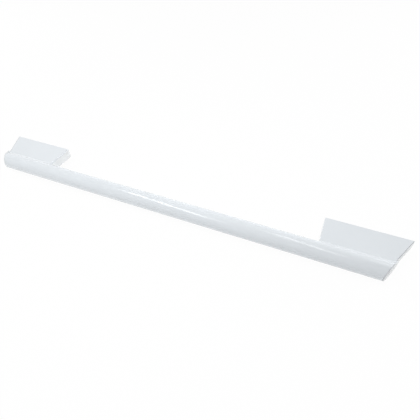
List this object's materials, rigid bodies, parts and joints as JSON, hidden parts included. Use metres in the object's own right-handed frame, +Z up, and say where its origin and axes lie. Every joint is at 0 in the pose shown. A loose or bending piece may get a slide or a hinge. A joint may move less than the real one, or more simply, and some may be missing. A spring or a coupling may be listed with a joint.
{
  "type": "oven door handle",
  "caption": "Straight round bar with slanted ends, carried by flat-topped end brackets that stand it off an oven door.",
  "frame": {"origin": "on the door's face, midway between the end brackets and level with the bar's axis", "axes": "+X along the bar to the right end, +Y from the bar into the door, +Z up"},
  "size_m": [0.5964, 0.0607, 0.023],
  "materials": {
    "coated_profile": "white semi-gloss coating on extruded aluminium",
    "moulded_white": "white moulded plastic, slightly glossy",
    "screw_steel": "zinc-plated steel",
    "insert_brass": "plain turned brass"
  },
  "bodies": {
    "root": {"handle_profile": "coated_profile", "bracket_left": "moulded_white", "bracket_right": "moulded_white", "end_plug_left": "moulded_white", "end_plug_right": "moulded_white", "bar_screw_left_inner": "screw_steel", "bar_screw_left_outer": "screw_steel", "bar_screw_right_inner": "screw_steel", "bar_screw_right_outer": "screw_steel", "door_insert_left_inner": "insert_brass", "door_insert_left_outer": "insert_brass", "door_insert_right_inner": "insert_brass", "door_insert_right_outer": "insert_brass"}
  },
  "joints": []
}
